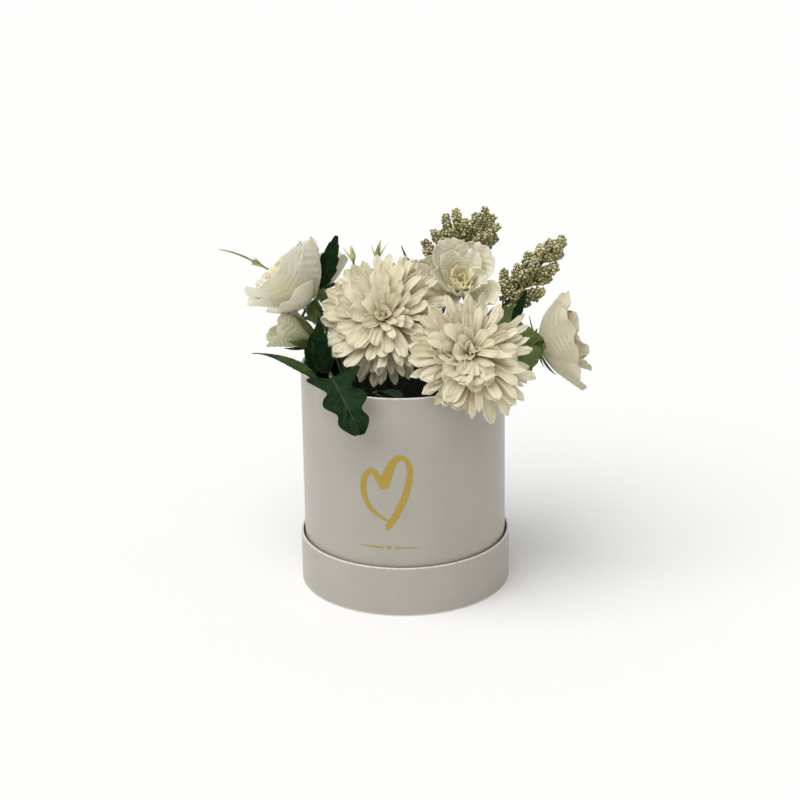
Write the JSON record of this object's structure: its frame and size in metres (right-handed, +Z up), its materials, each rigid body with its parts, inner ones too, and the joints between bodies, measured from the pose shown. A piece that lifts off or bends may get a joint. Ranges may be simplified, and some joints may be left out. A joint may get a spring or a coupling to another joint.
{
  "type": "flower box",
  "caption": "Round paper-covered hat box standing in its upturned lid, holding a foam-set arrangement of fabric mums, roses, berry sprays and leaves.",
  "frame": {"origin": "middle of the lid's outer face, which lies on the table under the box", "axes": "+Z up along the box's axis, +X to the right and -Y towards the front with the heart"},
  "size_m": [0.2729, 0.1959, 0.2708],
  "materials": {
    "pearl_paper": "pearl-finish covering paper",
    "grey_board": "greyboard core",
    "dark_lining": "matt dark lining paper",
    "foam": "dry floral foam",
    "cream_petal": "matt polyester petal",
    "white_petal": "matt polyester petal, embossed",
    "bud_petal": "matt polyester petal",
    "dark_leaf": "printed polyester leaf",
    "mid_leaf": "printed polyester leaf",
    "green_plastic": "moulded green plastic",
    "pale_bud": "moulded pale green plastic",
    "berry": "olive berries with a cream frosting"
  },
  "bodies": {
    "lid": {"lid_band": "grey_board", "lid_disc": "grey_board", "lid_face_paper": "pearl_paper", "lid_lining": "pearl_paper", "lid_wrap": "pearl_paper"},
    "box": {"box_base": "grey_board", "box_base_paper": "pearl_paper", "box_floor_paper": "dark_lining", "box_lining": "dark_lining", "box_tube": "grey_board", "box_wrap": "pearl_paper"},
    "arrangement": {"bud_green": "pale_bud", "bud_left_calyx": "green_plastic", "bud_left_heart": "bud_petal", "bud_left_outer_petals": "bud_petal", "bud_left_stem": "green_plastic", "bud_pale_left": "pale_bud", "bud_pale_middle": "pale_bud", "bud_tail": "pale_bud", "foam_block": "foam", "leaf_back_low": "dark_leaf", "leaf_back_side": "dark_leaf", "leaf_blade": "dark_leaf", "leaf_dark_high": "dark_leaf", "leaf_dark_low": "dark_leaf", "leaf_left": "mid_leaf", "leaf_mouth": "dark_leaf", "leaf_right": "mid_leaf", "leaf_rim": "dark_leaf", "leaf_small": "mid_leaf", "leaf_up": "dark_leaf", "mum_front_calyx": "green_plastic", "mum_front_inner_petals": "cream_petal", "mum_front_outer_petals": "cream_petal", "mum_front_stem": "green_plastic", "mum_rim_calyx": "green_plastic", "mum_rim_inner_petals": "cream_petal", "mum_rim_outer_petals": "cream_petal", "mum_rim_stem": "green_plastic", "rose_back_calyx": "green_plastic", "rose_back_heart": "white_petal", "rose_back_outer_petals": "white_petal", "rose_back_stem": "green_plastic", "rose_left_calyx": "green_plastic", "rose_left_heart": "white_petal", "rose_left_outer_petals": "white_petal", "rose_left_stem": "green_plastic", "rose_right_calyx": "green_plastic", "rose_right_heart": "white_petal", "rose_right_outer_petals": "white_petal", "rose_right_stem": "green_plastic", "rose_top_calyx": "green_plastic", "rose_top_heart": "white_petal", "rose_top_outer_petals": "white_petal", "rose_top_stem": "green_plastic", "spray_back_berries": "berry", "spray_back_stem": "green_plastic", "spray_right_berries": "berry", "spray_right_stem": "green_plastic"}
  },
  "joints": [
    {"name": "box_lift", "type": "slide", "parent": "lid", "child": "box", "axis": [0, 0, 1], "range_m": [0, 0.04]},
    {"name": "arrangement_lift", "type": "slide", "parent": "box", "child": "arrangement", "axis": [0, 0, 1], "range_m": [0, 0.165]}
  ]
}
